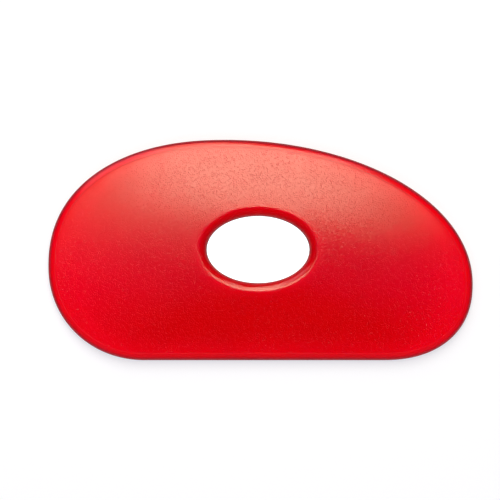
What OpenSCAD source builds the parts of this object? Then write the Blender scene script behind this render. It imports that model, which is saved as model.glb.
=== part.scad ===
// Pottery rib: a hand tool for shaping and smoothing wet clay, cast in one piece from soft
// translucent polymer. It lies on its flat back with the crowned front face up. The straight
// edge runs along X on the -Y side, and the curved edge is on the +Y side.
// All sizes are in millimetres. The outline is measured from the left end and the straight edge.

/* [Body] */
// Length of the rib from end to end
rib_length = 140; // [128:1:165]
// Height of the rib from the straight edge to the top of the curved edge
rib_height = 72.7; // [66:0.1:90]
// Thickness at the finger hole, where the rib is thickest
rib_thickness = 6.5; // [5.5:0.1:9]
// Rise of the domed front face from its rounded border to the finger hole
face_crown = 1.6; // [0.4:0.1:2]

/* [Outline] */
// Distance from the left end to the highest point of the curved edge
crest_x = 58.3; // [45:0.1:75]
// Height of the left end's furthest point above the straight edge
left_nose_y = 30.9; // [24:0.1:36]
// Height of the right end's furthest point above the straight edge
right_nose_y = 25.2; // [19:0.1:34]
// Distance from the left end to the start of the straight edge
left_corner_x = 31.8; // [22:0.1:40]
// Distance from the right end to the end of the straight edge
right_corner_x = 29.6; // [22:0.1:40]
// Fullness of the upper left shoulder, where 2 is an ellipse and more is squarer
left_shoulder_fullness = 2.24; // [1.9:0.01:2.5]
// Fullness of the long upper right sweep
right_sweep_fullness = 2.01; // [1.9:0.01:2.5]
// Fullness of the lower left corner
left_corner_fullness = 2.05; // [1.9:0.01:2.5]
// Fullness of the lower right corner
right_corner_fullness = 2.27; // [1.9:0.01:2.5]

/* [Edge] */
// Width of the rounded border round the front face
border_width = 2.5; // [1.5:0.1:4]
// Height over which the rounded border falls to the side wall
border_height = 2; // [1:0.1:3.4]
// Turn of the border's roll up to the face, in degrees. It meets the face in a crease below 90
border_turn = 70; // [60:1:90]
// Radius of the edge between the side wall and the flat back
back_edge_radius = 0.6; // [0.3:0.1:0.9]

/* [Finger hole] */
// Length of the oval finger hole at its narrowest
hole_length = 33.9; // [26:0.1:40]
// Height of the oval finger hole at its narrowest
hole_height = 22.1; // [18:0.1:27]
// Distance from the left end to the middle of the hole
hole_x = 69.2; // [60:0.1:80]
// Distance from the straight edge to the middle of the hole
hole_y = 36.5; // [32:0.1:40]
// Radius of the lip where the front face rolls into the hole
front_lip_radius = 3; // [1:0.1:3.5]
// Fullness of that lip's roll, where 2 is round and more is squarer
front_lip_fullness = 2.25; // [2:0.01:2.5]
// Radius of the lip where the flat back meets the hole
back_lip_radius = 1; // [0.4:0.1:1.5]

/* [Hidden] */

rib_colour = [0.82, 0.02, 0.06];

// Shortest straight stretch that is left between two roundings, up the side wall or the hole
least_wall = 0.3;

// Steps along each stretch of the outline
sweep_steps = 32;
shoulder_steps = 26;
corner_steps = 15;
straight_steps = 22;

// Steps across each rounding and across the crowned face
small_round_steps = 3;
large_round_steps = 8;
face_steps = 7;

// Height of the front face at its border, and of the side wall where the border starts
border_top = rib_thickness - face_crown;
wall_top = max(border_top - border_height, back_edge_radius + least_wall);

// The part's own frame has its origin under the middle of the bounding box
frame_shift = [-rib_length / 2, -rib_height / 2, 0];

// One station of the outline is a point and the outward direction there, [point, direction].
// A quarter of a superellipse, from the point beyond its centre along X to the one along Y.
// side holds the signs of X and Y, so it says which quarter this is.
function quarter_station(centre, half_size, fullness, side, angle) =
    let (
        power = 2 / fullness,
        point = [
            centre.x + side.x * half_size.x * pow(cos(angle), power),
            centre.y + side.y * half_size.y * pow(sin(angle), power)
        ],
        slope = [
            side.x * pow(cos(angle), 2 - power) / half_size.x,
            side.y * pow(sin(angle), 2 - power) / half_size.y
        ]
    )
    [point, slope / norm(slope)];

// Upper right sweep, from the right nose up to the crest
function sweep_stations() = [
    for (i = [0 : sweep_steps - 1])
        quarter_station(
            [crest_x, right_nose_y],
            [rib_length - crest_x, rib_height - right_nose_y],
            right_sweep_fullness, [1, 1], 90 * i / sweep_steps
        )
];

// Upper left shoulder, from the crest down to the left nose
function shoulder_stations() = [
    for (i = [0 : shoulder_steps - 1])
        quarter_station(
            [crest_x, left_nose_y],
            [crest_x, rib_height - left_nose_y],
            left_shoulder_fullness, [-1, 1], 90 - 90 * i / shoulder_steps
        )
];

// Lower left corner, from the left nose down to the straight edge
function left_corner_stations() = [
    for (i = [0 : corner_steps - 1])
        quarter_station(
            [left_corner_x, left_nose_y],
            [left_corner_x, left_nose_y],
            left_corner_fullness, [-1, -1], 90 * i / corner_steps
        )
];

// The straight scraping edge
function straight_stations() = [
    for (i = [0 : straight_steps - 1])
        let (run = rib_length - left_corner_x - right_corner_x)
        [[left_corner_x + run * i / straight_steps, 0], [0, -1]]
];

// Lower right corner, from the straight edge up to the right nose
function right_corner_stations() = [
    for (i = [0 : corner_steps - 1])
        quarter_station(
            [rib_length - right_corner_x, right_nose_y],
            [right_corner_x, right_nose_y],
            right_corner_fullness, [1, -1], 90 - 90 * i / corner_steps
        )
];

// The whole outline, anticlockwise from the right nose
outline = concat(
    sweep_stations(),
    shoulder_stations(),
    left_corner_stations(),
    straight_stations(),
    right_corner_stations()
);

// The hole has one station for each of the outline's, on the ray from the middle of the hole
hole = [
    for (station = outline)
        let (
            half_size = [hole_length / 2, hole_height / 2],
            ray = station[0] - [hole_x, hole_y],
            reach = norm([ray.x / half_size.x, ray.y / half_size.y]),
            point = ray / reach,
            slope = [point.x / pow(half_size.x, 2), point.y / pow(half_size.y, 2)]
        )
        [[hole_x, hole_y] + point, slope / norm(slope)]
];

// A ring at one height: every station moved by a distance along its outward direction
function ring(stations, distance, height) = [
    for (station = stations)
        let (point = station[0] + distance * station[1])
        [point.x, point.y, height]
];

// Edge of the flat back, rounded up to the side wall
back_edge_rings = [
    for (i = [0 : small_round_steps])
        let (angle = 90 * i / small_round_steps)
        ring(outline, -back_edge_radius * (1 - sin(angle)), back_edge_radius * (1 - cos(angle)))
];

// Rounded border, from the side wall up to its crease with the front face
border_rings = [
    for (i = [0 : large_round_steps])
        let (
            angle = border_turn * i / large_round_steps,
            inset = border_width * (1 - cos(angle)) / (1 - cos(border_turn)),
            rise = (border_top - wall_top) * sin(angle) / sin(border_turn)
        )
        ring(outline, -inset, wall_top + rise)
];

// Outer edge of the domed front face, at the border, and its inner edge, at the hole's lip
face_outer = ring(outline, -border_width, border_top);
face_inner = ring(hole, front_lip_radius, border_top);

// Share of the way out from the middle of the hole to the border, for a point near a station's ray
function way_out(point, station) =
    norm([point.x - hole_x, point.y - hole_y])
        / norm([face_outer[station].x - hole_x, face_outer[station].y - hole_y]);

// The dome is a parabola along each ray. It would peak over the middle of the hole.
nearest_lip = min([for (i = [0 : len(hole) - 1]) way_out(face_inner[i], i)]);
dome_rise = face_crown / (1 - pow(nearest_lip, 2));
function face_height(point, station) = border_top + dome_rise * (1 - pow(way_out(point, station), 2));

// Domed front face, from the border to the hole's lip
face_rings = [
    for (step = [1 : face_steps])
        let (share = step / (face_steps + 1))
        [
            for (i = [0 : len(outline) - 1])
                let (point = face_outer[i] + share * (face_inner[i] - face_outer[i]))
                [point.x, point.y, face_height(point, i)]
        ]
];

// Height of the face where the lip starts, and the height over which the lip rolls into the hole
lip_tops = [for (i = [0 : len(hole) - 1]) face_height(face_inner[i], i)];
lip_fall = min(front_lip_radius, min(lip_tops) - back_lip_radius - least_wall);

// Lip that rolls from the front face into the hole
front_lip_rings = [
    for (step = [0 : large_round_steps])
        let (
            angle = 90 * step / large_round_steps,
            power = 2 / front_lip_fullness,
            level_ring = ring(hole, front_lip_radius * (1 - pow(sin(angle), power)), 0)
        )
        [
            for (i = [0 : len(hole) - 1])
                level_ring[i] + [0, 0, lip_tops[i] - lip_fall * (1 - pow(cos(angle), power))]
        ]
];

// Smaller lip from the hole's wall out to the flat back
back_lip_rings = [
    for (i = [0 : small_round_steps])
        let (angle = 90 * i / small_round_steps)
        ring(hole, back_lip_radius * (1 - cos(angle)), back_lip_radius * (1 - sin(angle)))
];

// Closed skin through a loop of rings that all have the same number of points
module skin(rings) {
    ring_count = len(rings);
    point_count = len(rings[0]);
    function at(r, p) = (r % ring_count) * point_count + p % point_count;
    polyhedron(
        points = [for (one_ring = rings) each one_ring],
        faces = [
            for (r = [0 : ring_count - 1])
                for (p = [0 : point_count - 1])
                    each [
                        [at(r, p), at(r + 1, p + 1), at(r, p + 1)],
                        [at(r, p), at(r + 1, p), at(r + 1, p + 1)]
                    ]
        ],
        convexity = 4
    );
}

module rib() {
    color(rib_colour)
        translate(frame_shift)
            skin(concat(back_edge_rings, border_rings, face_rings, front_lip_rings, back_lip_rings));
}

rib();
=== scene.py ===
"""Pottery rib of soft translucent red polymer, lying face up on a white table under softboxes.

The rib is one cast piece. Its mesh follows the same outline, border, dome and lip as the frame's
solid. It is finer, and has the shallow groove and step where the smooth border meets the face.
"""

import math

import bpy
import numpy as np
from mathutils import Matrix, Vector


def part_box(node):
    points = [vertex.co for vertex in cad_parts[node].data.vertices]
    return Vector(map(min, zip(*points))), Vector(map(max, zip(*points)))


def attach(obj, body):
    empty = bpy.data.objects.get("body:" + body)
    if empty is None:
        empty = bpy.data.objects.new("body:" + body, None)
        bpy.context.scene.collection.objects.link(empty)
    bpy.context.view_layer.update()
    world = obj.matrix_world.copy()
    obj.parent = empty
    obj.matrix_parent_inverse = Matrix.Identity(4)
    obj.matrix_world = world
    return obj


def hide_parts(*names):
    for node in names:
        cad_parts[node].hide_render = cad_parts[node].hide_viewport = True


MM = 0.001

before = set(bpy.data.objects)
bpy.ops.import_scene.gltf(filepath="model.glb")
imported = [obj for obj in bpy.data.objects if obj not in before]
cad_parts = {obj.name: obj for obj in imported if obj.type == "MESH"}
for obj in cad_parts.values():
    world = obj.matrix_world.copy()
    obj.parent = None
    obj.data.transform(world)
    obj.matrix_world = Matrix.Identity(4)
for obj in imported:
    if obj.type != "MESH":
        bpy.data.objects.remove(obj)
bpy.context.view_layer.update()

# Overall size of the rib, from the frame
box_low, box_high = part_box("rib")
LENGTH = box_high.x - box_low.x
HEIGHT = box_high.y - box_low.y
THICKNESS = box_high.z - box_low.z

# Outline, measured from the left end and the straight edge
CREST_X = 58.3 * MM
LEFT_NOSE_Y = 30.9 * MM
RIGHT_NOSE_Y = 25.2 * MM
LEFT_CORNER_X = 31.8 * MM
RIGHT_CORNER_X = 29.6 * MM

# Squareness of the outline's quarters and of the lip's roll, where 2 is an ellipse
LEFT_SHOULDER_FULLNESS = 2.24
RIGHT_SWEEP_FULLNESS = 2.01
LEFT_CORNER_FULLNESS = 2.05
RIGHT_CORNER_FULLNESS = 2.27
FRONT_LIP_FULLNESS = 2.25

# Edge, face and finger hole
FACE_CROWN = 1.6 * MM
BORDER_WIDTH = 2.5 * MM
BORDER_HEIGHT = 2.0 * MM
BACK_EDGE_RADIUS = 0.6 * MM
HOLE_LENGTH = 33.9 * MM
HOLE_HEIGHT = 22.1 * MM
HOLE_MIDDLE = np.array([69.2, 36.5]) * MM
FRONT_LIP_RADIUS = 3.0 * MM
BACK_LIP_RADIUS = 1.0 * MM
BORDER_TOP = THICKNESS - FACE_CROWN
WALL_TOP = BORDER_TOP - BORDER_HEIGHT

# The border's roll stops short of a quarter turn, so it meets the face in a crease
BORDER_TURN = math.radians(70)

# The shallow groove inside the crease, and the step from it up to the grained face
GROOVE_WIDTH = 0.2 * MM
GROOVE_DEPTH = 0.004 * MM
STEP_WIDTH = 0.35 * MM
STEP_HEIGHT = 0.03 * MM
SMOOTH_WIDTH = BORDER_WIDTH - GROOVE_WIDTH

# How fine the mesh is
SWEEP_STEPS = 96
SHOULDER_STEPS = 80
CORNER_STEPS = 48
STRAIGHT_STEPS = 66
SMALL_ROUND_STEPS = 6
LARGE_ROUND_STEPS = 24
WALL_STEPS = 3
FACE_STEPS = 44
BACK_STEPS = 20
GROOVE_SHARES = (0.2, 0.8, 1)
STEP_SHARES = (0.25, 0.5, 0.75, 1)

# Share of the face's grain that the flat back has, and how fast the grain fades over the lip
BACK_GRAIN = 0.3
LIP_GRAIN_POWER = 4

# Painted glow of light through the polymer: the red is brighter towards the thin ends, along the edges
# and round the hole's lip
LEFT_GLOW_REACH = 27 * MM
RIGHT_GLOW_REACH = 20 * MM
RIGHT_GLOW = 0.95
EDGE_GLOW_REACH = 6.4 * MM
EDGE_GLOW_POWER = 2.3
EDGE_GLOW = 0.7
HOLE_GLOW_REACH = 1.8 * MM
HOLE_GLOW_POWER = 1.5
HOLE_GLOW = 0.3

# Painted shade darkens the red along its outer edge, wall and crease, and round the hole's rim and lip.
# The painted shade on the outer edge and the crease is darker on the curved side, on the hole's rim it
# is darker on the straight side, and on the lip it is darker at the hole's ends.
PAINTED_EDGE_SHADE = 0.65
PAINTED_EDGE_SHADE_LEAN = 0.17
PAINTED_EDGE_SHADE_PLACE = 0.42 * MM
PAINTED_EDGE_SHADE_REACH = 0.55 * MM
PAINTED_CREASE_SHADE = 0.3
PAINTED_RIM_SHADE = 0.22
PAINTED_RIM_SHADE_REACH = 0.65 * MM
PAINTED_RIM_SHADE_POWER = 1.2
PAINTED_RIM_SHADE_LEAN = 0.85
PAINTED_LIP_SHADE = 0.18
PAINTED_LIP_SHADE_POWER = 8
PAINTED_LIP_SHADE_LEAN = 0.5
PAINTED_WALL_SHADE = 0.35


def quarter_stations(centre, half_size, fullness, side, angles):
    """Points and outward directions along a quarter of a superellipse."""
    power = 2 / fullness
    cos, sin = np.cos(angles), np.sin(angles)
    points = np.stack(
        [
            centre[0] + side[0] * half_size[0] * np.power(cos, power),
            centre[1] + side[1] * half_size[1] * np.power(sin, power),
        ],
        axis=1,
    )
    slopes = np.stack(
        [
            side[0] * np.power(cos, 2 - power) / half_size[0],
            side[1] * np.power(sin, 2 - power) / half_size[1],
        ],
        axis=1,
    )
    return points, slopes / np.linalg.norm(slopes, axis=1, keepdims=True)


def turns(steps, backwards=False):
    """Angles along a quarter turn, without its last one, forwards or backwards."""
    angles = np.linspace(0, math.pi / 2, steps, endpoint=False)
    return math.pi / 2 - angles if backwards else angles


def outline_stations():
    """The whole outline, anticlockwise from the right nose."""
    straight_x = np.linspace(LEFT_CORNER_X, LENGTH - RIGHT_CORNER_X, STRAIGHT_STEPS, endpoint=False)
    stretches = [
        quarter_stations(
            (CREST_X, RIGHT_NOSE_Y),
            (LENGTH - CREST_X, HEIGHT - RIGHT_NOSE_Y),
            RIGHT_SWEEP_FULLNESS,
            (1, 1),
            turns(SWEEP_STEPS),
        ),
        quarter_stations(
            (CREST_X, LEFT_NOSE_Y),
            (CREST_X, HEIGHT - LEFT_NOSE_Y),
            LEFT_SHOULDER_FULLNESS,
            (-1, 1),
            turns(SHOULDER_STEPS, backwards=True),
        ),
        quarter_stations(
            (LEFT_CORNER_X, LEFT_NOSE_Y),
            (LEFT_CORNER_X, LEFT_NOSE_Y),
            LEFT_CORNER_FULLNESS,
            (-1, -1),
            turns(CORNER_STEPS),
        ),
        (
            np.stack([straight_x, np.zeros(STRAIGHT_STEPS)], axis=1),
            np.tile([0.0, -1.0], (STRAIGHT_STEPS, 1)),
        ),
        quarter_stations(
            (LENGTH - RIGHT_CORNER_X, RIGHT_NOSE_Y),
            (RIGHT_CORNER_X, RIGHT_NOSE_Y),
            RIGHT_CORNER_FULLNESS,
            (1, -1),
            turns(CORNER_STEPS, backwards=True),
        ),
    ]
    points = np.concatenate([stretch[0] for stretch in stretches])
    directions = np.concatenate([stretch[1] for stretch in stretches])
    return points, directions


def hole_stations(outline_points):
    """The hole's station for each of the outline's, on the ray from the middle of the hole."""
    half_size = np.array([HOLE_LENGTH, HOLE_HEIGHT]) / 2
    rays = outline_points - HOLE_MIDDLE
    points = rays / np.linalg.norm(rays / half_size, axis=1, keepdims=True)
    slopes = points / half_size**2
    return HOLE_MIDDLE + points, slopes / np.linalg.norm(slopes, axis=1, keepdims=True)


def ring(stations, distance, height):
    """Every station moved by a distance along its outward direction, at one height."""
    points = stations[0] + distance * stations[1]
    heights = np.full((len(points), 1), height)
    return np.hstack([points, heights])


class Skin:
    """The rings of a closed skin, with each point's share of grain and of painted shade."""

    def __init__(self):
        self.rings = []
        self.grain = []
        self.painted_shade = []

    def add(self, points, grain, painted_shade):
        self.rings.append(points)
        self.grain.append(np.ones(len(points)) * grain)
        self.painted_shade.append(np.ones(len(points)) * painted_shade)

    def mesh(self, name):
        """The mesh through the rings, and its points in the outline's measure."""
        count = len(self.rings[0])
        points = np.concatenate(self.rings)
        starts = np.arange(len(self.rings)) * count
        ahead = np.roll(starts, -1)
        along = np.arange(count)
        beside = np.roll(along, -1)
        faces = np.stack(
            [
                starts[:, None] + along,
                ahead[:, None] + along,
                ahead[:, None] + beside,
                starts[:, None] + beside,
            ],
            axis=2,
        ).reshape(-1, 4)
        mesh = bpy.data.meshes.new(name)
        mesh.from_pydata((points + np.array(box_low)).tolist(), [], faces[:, ::-1].tolist())
        mesh.shade_smooth()
        return mesh, points


class Dome:
    """The domed front face: a parabola along each ray from the middle of the hole."""

    def __init__(self, outline, hole):
        self.outer = ring(outline, -BORDER_WIDTH, BORDER_TOP)
        self.inner = ring(hole, FRONT_LIP_RADIUS, BORDER_TOP)
        self.outer_reach = np.linalg.norm(self.outer[:, :2] - HOLE_MIDDLE, axis=1)
        self.rise = FACE_CROWN / (1 - self.way_out(self.inner).min() ** 2)

    def way_out(self, points):
        """Share of the way out from the middle of the hole to the border."""
        return np.linalg.norm(points[:, :2] - HOLE_MIDDLE, axis=1) / self.outer_reach

    def raised(self, points, extra=0.0):
        """The points at the dome's height, and a little more if asked."""
        moved = points.copy()
        moved[:, 2] = BORDER_TOP + self.rise * (1 - self.way_out(points) ** 2) + extra
        return moved


def add_back_edge(skin, outline):
    """Edge of the flat back, rounded up to the side wall."""
    for angle in np.linspace(0, math.pi / 2, SMALL_ROUND_STEPS + 1):
        inset = BACK_EDGE_RADIUS * (1 - math.sin(angle))
        height = BACK_EDGE_RADIUS * (1 - math.cos(angle))
        rounded = ring(outline, -inset, height)
        # Painted shade rises over the rounded edge up to the side wall
        skin.add(rounded, BACK_GRAIN * math.cos(angle), PAINTED_WALL_SHADE * math.sin(angle))


def add_wall(skin, outline):
    """Side wall, between the back's edge and the border."""
    for height in np.linspace(BACK_EDGE_RADIUS, WALL_TOP, WALL_STEPS + 2)[1:-1]:
        # The side wall carries painted shade
        skin.add(ring(outline, 0, height), 0, PAINTED_WALL_SHADE)


def add_border(skin, outline):
    """Smooth rounded border, from the side wall up to its crease."""
    # Painted shade along the outer edge, deepest on the curved side
    deepest_edge_shade = PAINTED_EDGE_SHADE + PAINTED_EDGE_SHADE_LEAN * outline[1][:, 1]
    for angle in np.linspace(0, BORDER_TURN, LARGE_ROUND_STEPS + 1):
        inset = SMOOTH_WIDTH * (1 - math.cos(angle)) / (1 - math.cos(BORDER_TURN))
        rise = BORDER_HEIGHT * math.sin(angle) / math.sin(BORDER_TURN)
        painted_shade = deepest_edge_shade * math.exp(-(((inset - PAINTED_EDGE_SHADE_PLACE) / PAINTED_EDGE_SHADE_REACH) ** 2))
        skin.add(ring(outline, -inset, WALL_TOP + rise), 0, painted_shade)


def add_groove(skin, outline):
    """Shallow groove inside the crease."""
    # Painted shade along the crease, fading to none on the straight side
    painted_shade = PAINTED_CREASE_SHADE * (1 + outline[1][:, 1]) / 2
    for share in GROOVE_SHARES:
        inset = SMOOTH_WIDTH + share * GROOVE_WIDTH
        skin.add(ring(outline, -inset, BORDER_TOP - share * GROOVE_DEPTH), 0, painted_shade)


def add_face(skin, dome):
    """Step up from the groove, then the grained dome up to the hole's lip."""
    run = np.linalg.norm(dome.inner - dome.outer, axis=1)[:, None]
    for share in STEP_SHARES:
        points = dome.outer + share * STEP_WIDTH / run * (dome.inner - dome.outer)
        rise = STEP_HEIGHT * math.sin(share * math.pi / 2) - GROOVE_DEPTH * (1 - share)
        skin.add(dome.raised(points, rise), share, 0)
    start = dome.outer + STEP_WIDTH / run * (dome.inner - dome.outer)
    for step in range(1, FACE_STEPS):
        share = step / FACE_STEPS
        points = start + share * (dome.inner - start)
        skin.add(dome.raised(points, STEP_HEIGHT * (1 - share)), 1, 0)


def add_front_lip(skin, hole, dome):
    """Lip that rolls from the front face into the hole."""
    tops = dome.raised(dome.inner)[:, 2]
    power = 2 / FRONT_LIP_FULLNESS
    side = hole[1][:, 1]
    for angle in np.linspace(0, math.pi / 2, LARGE_ROUND_STEPS + 1):
        reach = FRONT_LIP_RADIUS * (1 - math.sin(angle) ** power)
        rolled = ring(hole, reach, 0)
        rolled[:, 2] = tops - FRONT_LIP_RADIUS * (1 - max(math.cos(angle), 0) ** power)
        # Painted shade round the hole's rim, deepest on the straight side, and over the lip, deepest at
        # the hole's ends
        rim_shade = PAINTED_RIM_SHADE * math.exp(-((reach / PAINTED_RIM_SHADE_REACH) ** PAINTED_RIM_SHADE_POWER))
        lip_shade = PAINTED_LIP_SHADE * (1 - (reach / FRONT_LIP_RADIUS) ** PAINTED_LIP_SHADE_POWER)
        painted_shade = rim_shade * (1 - PAINTED_RIM_SHADE_LEAN * side) + lip_shade * (1 - PAINTED_LIP_SHADE_LEAN * side**2)
        skin.add(rolled, math.cos(angle) ** LIP_GRAIN_POWER, painted_shade)


def add_back_lip(skin, hole):
    """Smaller lip, from the hole's wall out to the flat back."""
    for angle in np.linspace(0, math.pi / 2, SMALL_ROUND_STEPS + 1):
        reach = BACK_LIP_RADIUS * (1 - math.cos(angle))
        height = BACK_LIP_RADIUS * (1 - math.sin(angle))
        rounded = ring(hole, reach, height)
        # Painted shade from the hole's rim fades out over the back lip
        skin.add(rounded, BACK_GRAIN * math.sin(angle), PAINTED_RIM_SHADE * math.cos(angle))


def add_back(skin, outline, hole):
    """Flat back, from the hole's lip out to the edge."""
    inner = ring(hole, BACK_LIP_RADIUS, 0)
    outer = ring(outline, -BACK_EDGE_RADIUS, 0)
    for step in range(1, BACK_STEPS):
        skin.add(inner + step / BACK_STEPS * (outer - inner), BACK_GRAIN, 0)


def nearest(points, stations):
    """Distance of each point from the nearest station, seen from above."""
    distances = np.full(len(points), 1.0)
    for station in stations:
        distances = np.minimum(distances, np.linalg.norm(points[:, :2] - station, axis=1))
    return distances


def painted_glow_at(points, outline, hole):
    """Share of the painted glow, the brighter red, at each point."""
    from_right = LENGTH - points[:, 0]
    from_edge = nearest(points, outline[0])
    from_lip = np.abs(nearest(points, hole[0]) - FRONT_LIP_RADIUS)
    return (
        np.exp(-((points[:, 0] / LEFT_GLOW_REACH) ** 2))
        + RIGHT_GLOW * np.exp(-((from_right / RIGHT_GLOW_REACH) ** 2))
        + EDGE_GLOW * np.exp(-((from_edge / EDGE_GLOW_REACH) ** EDGE_GLOW_POWER))
        + HOLE_GLOW * np.exp(-((from_lip / HOLE_GLOW_REACH) ** HOLE_GLOW_POWER))
    )


def make_rib():
    """The rib as one closed skin, and the values at its points that its material reads."""
    outline = outline_stations()
    hole = hole_stations(outline[0])
    dome = Dome(outline, hole)
    skin = Skin()
    add_back_edge(skin, outline)
    add_wall(skin, outline)
    add_border(skin, outline)
    add_groove(skin, outline)
    add_face(skin, dome)
    add_front_lip(skin, hole, dome)
    add_back_lip(skin, hole)
    add_back(skin, outline, hole)
    mesh, points = skin.mesh("rib_skin")
    for name, values in (
        ("grain", np.concatenate(skin.grain)),
        ("painted_shade", np.concatenate(skin.painted_shade)),
        ("painted_glow", painted_glow_at(points, outline, hole)),
    ):
        mesh.attributes.new(name, "FLOAT", "POINT").data.foreach_set("value", values)
    return bpy.data.objects.new("rib_body", mesh)


def add_node(tree, kind, x, y, **settings):
    node = tree.nodes.new(kind)
    node.location = (x, y)
    for key, value in settings.items():
        setattr(node, key, value)
    return node


def attribute(tree, name, x, y):
    return add_node(tree, "ShaderNodeAttribute", x, y, attribute_name=name).outputs["Fac"]


def noise(tree, coordinates, size, detail, x, y):
    """Noise whose features are about the given size in metres."""
    node = add_node(tree, "ShaderNodeTexNoise", x, y)
    node.inputs["Scale"].default_value = 1 / size
    node.inputs["Detail"].default_value = detail
    tree.links.new(coordinates, node.inputs["Vector"])
    return node.outputs["Fac"]


def mix_colour(tree, factor, first, second, x, y, blend_type="MIX"):
    node = add_node(tree, "ShaderNodeMix", x, y, data_type="RGBA", blend_type=blend_type)
    for socket, value in ((node.inputs[0], factor), (node.inputs[6], first), (node.inputs[7], second)):
        if isinstance(value, bpy.types.NodeSocket):
            tree.links.new(value, socket)
        elif isinstance(value, tuple):
            socket.default_value = (*value, 1)
        else:
            socket.default_value = value
    return node.outputs[2]


def map_range(tree, value, before, after, x, y):
    """The value, moved from the range before, a low and a high number, to the range after."""
    node = add_node(tree, "ShaderNodeMapRange", x, y)
    tree.links.new(value, node.inputs["Value"])
    for name, number in zip(("From Min", "From Max", "To Min", "To Max"), (*before, *after)):
        node.inputs[name].default_value = number
    return node.outputs["Result"]


def maths(tree, operation, first, second, x, y):
    node = add_node(tree, "ShaderNodeMath", x, y, operation=operation)
    for socket, value in zip(node.inputs, (first, second)):
        if isinstance(value, bpy.types.NodeSocket):
            tree.links.new(value, socket)
        else:
            socket.default_value = value
    return node.outputs[0]


def vector_maths(tree, operation, vector, amounts, x, y):
    """The vector, with plain amounts for X, Y and Z as the operation's second operand."""
    node = add_node(tree, "ShaderNodeVectorMath", x, y, operation=operation)
    tree.links.new(vector, node.inputs[0])
    node.inputs[1].default_value = amounts
    return node.outputs[0]


def vector_length(tree, vector, x, y):
    node = add_node(tree, "ShaderNodeVectorMath", x, y, operation="LENGTH")
    tree.links.new(vector, node.inputs[0])
    return node.outputs["Value"]


# Colours of the polymer where it is thick, where it is thin and lit by painted glow, in the painted
# shade of its edges and in the painted shade of its pits
THICK_RED = (0.65, 0.0, 0.002)
THIN_GLOW_RED = (0.83, 0.0, 0.009)
PAINTED_SHADE_RED = (0.16, 0.001, 0.012)
PIT_SHADE_RED = (0.2, 0.0, 0.0)
PIT_SHADE_SHARE = 0.02
FACE_ROUGHNESS = 0.10
BORDER_ROUGHNESS = 0.2

# Slow change of the colour over the rib
CLOUD_SIZE = 9 * MM
CLOUD_DETAIL = 3.0
CLOUD_NOISE = (0.3, 0.7)
CLOUD_LEVELS = (0.98, 1.02)

# Light through the polymer: how much of it there is, how far it reaches, and the share of that
# reach that red, green and blue light have
LIGHT_SHARE = 0.8
LIGHT_REACH = 4 * MM
LIGHT_REACH_SHARES = (1.0, 0.12, 0.10)
POLYMER_IOR = 1.5

# The moulded grain: a fine waviness, and pits in a share of the cells of a fine pattern.
# The pit's radius and its edge are shares of the spacing, and its depth is a multiple of the
# waviness.
GRAIN_SIZE = 0.4 * MM
GRAIN_DETAIL = 1.0
GRAIN_HEIGHT = 0.03 * MM
PIT_SPACING = 0.4 * MM
PIT_RADIUS = 0.35
PIT_EDGE = 1.3 * PIT_RADIUS
PIT_SHARE = 0.5
PIT_DEPTH = 1.25


def pits(tree, coordinates, x, y):
    """1 in the pits of the moulded grain and 0 outside them."""
    cells = add_node(tree, "ShaderNodeTexVoronoi", x, y)
    cells.inputs["Scale"].default_value = 1 / PIT_SPACING
    tree.links.new(coordinates, cells.inputs["Vector"])
    near = map_range(tree, cells.outputs["Distance"], (PIT_RADIUS, PIT_EDGE), (1.0, 0.0), x + 250, y)
    channels = add_node(tree, "ShaderNodeSeparateColor", x + 250, y - 250)
    tree.links.new(cells.outputs["Color"], channels.inputs[0])
    chosen = maths(tree, "LESS_THAN", channels.outputs[0], PIT_SHARE, x + 450, y - 250)
    return maths(tree, "MULTIPLY", near, chosen, x + 650, y)


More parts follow.
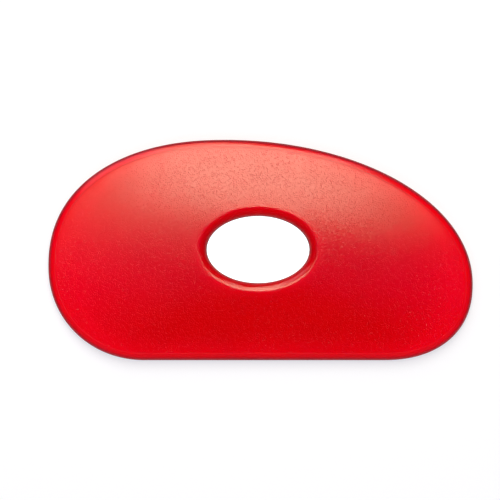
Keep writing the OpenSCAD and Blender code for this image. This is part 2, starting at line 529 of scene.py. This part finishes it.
def polymer_material():
    """Soft translucent red polymer with a fine matte grain moulded into its faces."""
    material = bpy.data.materials.new("soft_polymer_red")
    material.use_nodes = True
    tree = material.node_tree
    shader = tree.nodes["Principled BSDF"]
    place = add_node(tree, "ShaderNodeTexCoord", -1900, 0).outputs["Object"]
    grain_share = attribute(tree, "grain", -1500, -300)
    painted_shade = attribute(tree, "painted_shade", -1500, 300)
    painted_glow = attribute(tree, "painted_glow", -1500, 500)

    pit = maths(tree, "MULTIPLY", pits(tree, place, -1700, -700), grain_share, -850, -900)
    # Painted shade in the pits of the grain
    pit_shade = maths(tree, "MULTIPLY", pit, PIT_SHADE_SHARE, -650, -900)
    # Painted glow of light through the polymer brightens the red
    red = mix_colour(tree, painted_glow, THICK_RED, THIN_GLOW_RED, -1000, 500)
    # Painted shade darkens the red along the edges, wall, crease, rim and lip
    red = mix_colour(tree, painted_shade, red, PAINTED_SHADE_RED, -750, 450)
    red = mix_colour(tree, pit_shade, red, PIT_SHADE_RED, -600, 450)
    cloud = noise(tree, place, CLOUD_SIZE, CLOUD_DETAIL, -1250, 100)
    cloud = map_range(tree, cloud, CLOUD_NOISE, CLOUD_LEVELS, -1000, 100)
    tint = mix_colour(tree, 1.0, red, cloud, -400, 350, "MULTIPLY")
    tree.links.new(tint, shader.inputs["Base Color"])

    roughness = map_range(tree, grain_share, (0.0, 1.0), (BORDER_ROUGHNESS, FACE_ROUGHNESS), -650, -600)
    tree.links.new(roughness, shader.inputs["Roughness"])

    bump = add_node(tree, "ShaderNodeBump", -300, -350)
    bump.inputs["Distance"].default_value = GRAIN_HEIGHT
    tree.links.new(grain_share, bump.inputs["Strength"])
    waves = noise(tree, place, GRAIN_SIZE, GRAIN_DETAIL, -1250, -100)
    pit_depth = maths(tree, "MULTIPLY", pit, PIT_DEPTH, -600, -300)
    tree.links.new(maths(tree, "SUBTRACT", waves, pit_depth, -450, -300), bump.inputs["Height"])
    tree.links.new(bump.outputs["Normal"], shader.inputs["Normal"])

    shader.inputs["IOR"].default_value = POLYMER_IOR
    shader.inputs["Subsurface Weight"].default_value = LIGHT_SHARE
    shader.inputs["Subsurface Radius"].default_value = LIGHT_REACH_SHARES
    shader.inputs["Subsurface Scale"].default_value = LIGHT_REACH
    return material


# Camera: straight above, with the straight edge at the bottom of the picture
FRAME_WIDTH = 164.95 * MM
CAMERA_REACH = 0.6
CAMERA_X = -3.47 * MM


def add_camera():
    data = bpy.data.cameras.new("camera")
    data.sensor_width = 36
    data.lens = data.sensor_width * CAMERA_REACH / FRAME_WIDTH
    camera = bpy.data.objects.new("camera", data)
    camera.location = (CAMERA_X, 0, CAMERA_REACH + WALL_TOP)
    bpy.context.scene.collection.objects.link(camera)
    bpy.context.scene.camera = camera


# Colours of the lamps: warm for the key, a touch of purple for the fill at the sides and more
# of it for the one straight above
KEY_COLOUR = (1.1, 1.0, 0.73)
FILL_COLOUR = (1.1, 1.0, 1.1)
NEAR_COLOUR = (1.0, 0.0, 0.9)


def add_softbox(name, place, width, length, radiance, colour):
    """A rectangular lamp that faces the rib. A radiance of 1 shows as white in a mirror."""
    data = bpy.data.lights.new(name, "AREA")
    data.shape = "RECTANGLE"
    data.size = width
    data.size_y = length
    data.energy = radiance * math.pi * width * length
    data.color = colour
    lamp = bpy.data.objects.new(name, data)
    lamp.location = place
    lamp.rotation_euler = (-Vector(place)).to_track_quat("-Z", "Y").to_euler()
    lamp.visible_camera = False
    bpy.context.scene.collection.objects.link(lamp)


def background_rays(tree, x, y):
    """The camera's rays, and the glossy and transmission rays, which see a white background."""
    path = add_node(tree, "ShaderNodeLightPath", x, y)
    glossy = path.outputs["Is Glossy Ray"]
    transmission = path.outputs["Is Transmission Ray"]
    return path.outputs["Is Camera Ray"], maths(tree, "MAXIMUM", glossy, transmission, x + 200, y)


WHITE = (1, 1, 1, 1)

# Soft fill light from all round, which is strongest from the straight edge's side
FILL = 0.24
FILL_AROUND_COLOUR = (0.95, 1.0, 1.2, 1)

# Height above the horizon, as the sine of its angle, where the reflected backdrop ends
BACKDROP_TOP = 0.1


def add_background(tree, colour, x, y):
    node = add_node(tree, "ShaderNodeBackground", x, y)
    node.inputs["Color"].default_value = colour
    return node


def mix_shader(tree, factor, first, second, x, y):
    node = add_node(tree, "ShaderNodeMixShader", x, y)
    for socket, value in zip(node.inputs, (factor, first, second)):
        tree.links.new(value, socket)
    return node.outputs[0]


def add_world():
    """White to the camera, white round the horizon for reflections, and a soft fill light."""
    world = bpy.data.worlds.new("studio")
    bpy.context.scene.world = world
    world.use_nodes = True
    tree = world.node_tree
    fill = tree.nodes["Background"]
    fill.inputs["Color"].default_value = FILL_AROUND_COLOUR
    white = add_background(tree, WHITE, 0, 200)
    backdrop = add_background(tree, WHITE, 0, -200)
    direction = add_node(tree, "ShaderNodeTexCoord", -900, -300).outputs["Generated"]
    parts = add_node(tree, "ShaderNodeSeparateXYZ", -700, -300)
    tree.links.new(direction, parts.inputs[0])
    towards_front = maths(tree, "SUBTRACT", 1.0, parts.outputs["Y"], -500, 0)
    squared = maths(tree, "POWER", towards_front, 2.0, -350, 0)
    tree.links.new(maths(tree, "MULTIPLY", squared, FILL, -200, 0), fill.inputs["Strength"])
    horizon = map_range(tree, parts.outputs["Z"], (0.0, BACKDROP_TOP), (1.0, 0.0), -500, -300)
    tree.links.new(horizon, backdrop.inputs["Strength"])
    camera_ray, reflected_ray = background_rays(tree, -600, 400)
    reflected = mix_shader(tree, reflected_ray, fill.outputs[0], backdrop.outputs[0], 250, 0)
    seen = mix_shader(tree, camera_ray, reflected, white.outputs[0], 450, 0)
    tree.links.new(seen, tree.nodes["World Output"].inputs["Surface"])


# The table's surface is a little below the rib's back, so that the two don't touch
TABLE_REACH = 3.0
TABLE_TOP = -0.1 * MM
TABLE_COLOUR = (0.42, 0.44, 0.50, 1)
TABLE_ROUGHNESS = 0.9

# The table is pale. A lift that only camera rays and reflected rays see takes it to white outside
# the shadow. It is stronger further out, where the lamps light the table less.
TABLE_LIFT = 0.58
FAR_LIFT = 0.5
FAR_RANGE = (0.15, 0.6)

# It is stronger under the finger hole too, as painted light that takes out the rib's shadow there. This
# range is in shares of the hole's half size.
HOLE_PAINTED_LIGHT = 0.6
HOLE_RANGE = (1.0, 1.1)

# Reflected rays see the lift only beyond the rib, from the near to the far end of this range
REFLECTED_RANGE = (0.08, 0.3)


def table_lift(tree):
    """Strength of the table's lift, for camera rays and for reflected rays."""
    place = add_node(tree, "ShaderNodeTexCoord", -1500, 0).outputs["Object"]
    away = vector_length(tree, place, -1200, 0)
    far = map_range(tree, away, FAR_RANGE, (0.0, FAR_LIFT), -1000, 0)
    hole_middle = (HOLE_MIDDLE[0] + box_low.x, HOLE_MIDDLE[1] + box_low.y, TABLE_TOP)
    from_hole = vector_maths(tree, "SUBTRACT", place, hole_middle, -1300, -300)
    hole_size = (HOLE_LENGTH / 2, HOLE_HEIGHT / 2, 1)
    shares = vector_maths(tree, "DIVIDE", from_hole, hole_size, -1100, -300)
    share_out = vector_length(tree, shares, -900, -300)
    painted_hole_light = map_range(tree, share_out, HOLE_RANGE, (HOLE_PAINTED_LIGHT, 0.0), -700, -300)
    lift = maths(tree, "ADD", maths(tree, "ADD", far, painted_hole_light, -500, -100), TABLE_LIFT, -350, -100)
    beyond_rib = map_range(tree, away, REFLECTED_RANGE, (0.0, TABLE_LIFT), -700, 150)
    camera_ray, reflected_ray = background_rays(tree, -900, 400)
    seen = maths(tree, "MULTIPLY", lift, camera_ray, -200, 0)
    mirrored = maths(tree, "MULTIPLY", beyond_rib, reflected_ray, -400, 300)
    return maths(tree, "ADD", seen, mirrored, -50, 100)


def table_material():
    """Matte and pale, lifted to white outside the rib's shadow."""
    material = bpy.data.materials.new("table_white")
    material.use_nodes = True
    tree = material.node_tree
    shader = tree.nodes["Principled BSDF"]
    shader.inputs["Base Color"].default_value = TABLE_COLOUR
    shader.inputs["Roughness"].default_value = TABLE_ROUGHNESS
    shader.inputs["Specular IOR Level"].default_value = 0
    shader.inputs["Emission Color"].default_value = WHITE
    tree.links.new(table_lift(tree), shader.inputs["Emission Strength"])
    return material


def add_table():
    """A table that reaches far past the view."""
    mesh = bpy.data.meshes.new("table")
    sides = ((-1, -1), (1, -1), (1, 1), (-1, 1))
    corners = [(x * TABLE_REACH, y * TABLE_REACH, TABLE_TOP) for x, y in sides]
    mesh.from_pydata(corners, [], [(0, 1, 2, 3)])
    mesh.materials.append(table_material())
    table = bpy.data.objects.new("table", mesh)
    bpy.context.scene.collection.objects.link(table)


rib = make_rib()
bpy.context.scene.collection.objects.link(rib)
rib.data.materials.append(polymer_material())
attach(rib, "root")
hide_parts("rib")

add_table()
add_world()
add_softbox("key", (0.05, 0.374, 0.7), width=0.319, length=0.613, radiance=4.24, colour=KEY_COLOUR)
add_softbox("key_left", (-0.106, 0.736, 0.98), width=0.4, length=1.579, radiance=2.98, colour=KEY_COLOUR)
add_softbox(
    "fill_left", (-0.369, 0.582, 0.461), width=0.408, length=0.652, radiance=1.55, colour=FILL_COLOUR
)
add_softbox("fill_right", (0.273, 0.751, 0.602), width=0.2, length=0.5, radiance=1.3, colour=FILL_COLOUR)
add_softbox("key_near", (-0.03, 0.21, 1.0), width=0.6, length=0.28, radiance=0.85, colour=KEY_COLOUR)
add_softbox("fill_near", (0.0, 0.0, 1.0), width=0.6, length=0.14, radiance=0.35, colour=NEAR_COLOUR)
add_camera()

bpy.context.scene.view_settings.view_transform = "Standard"
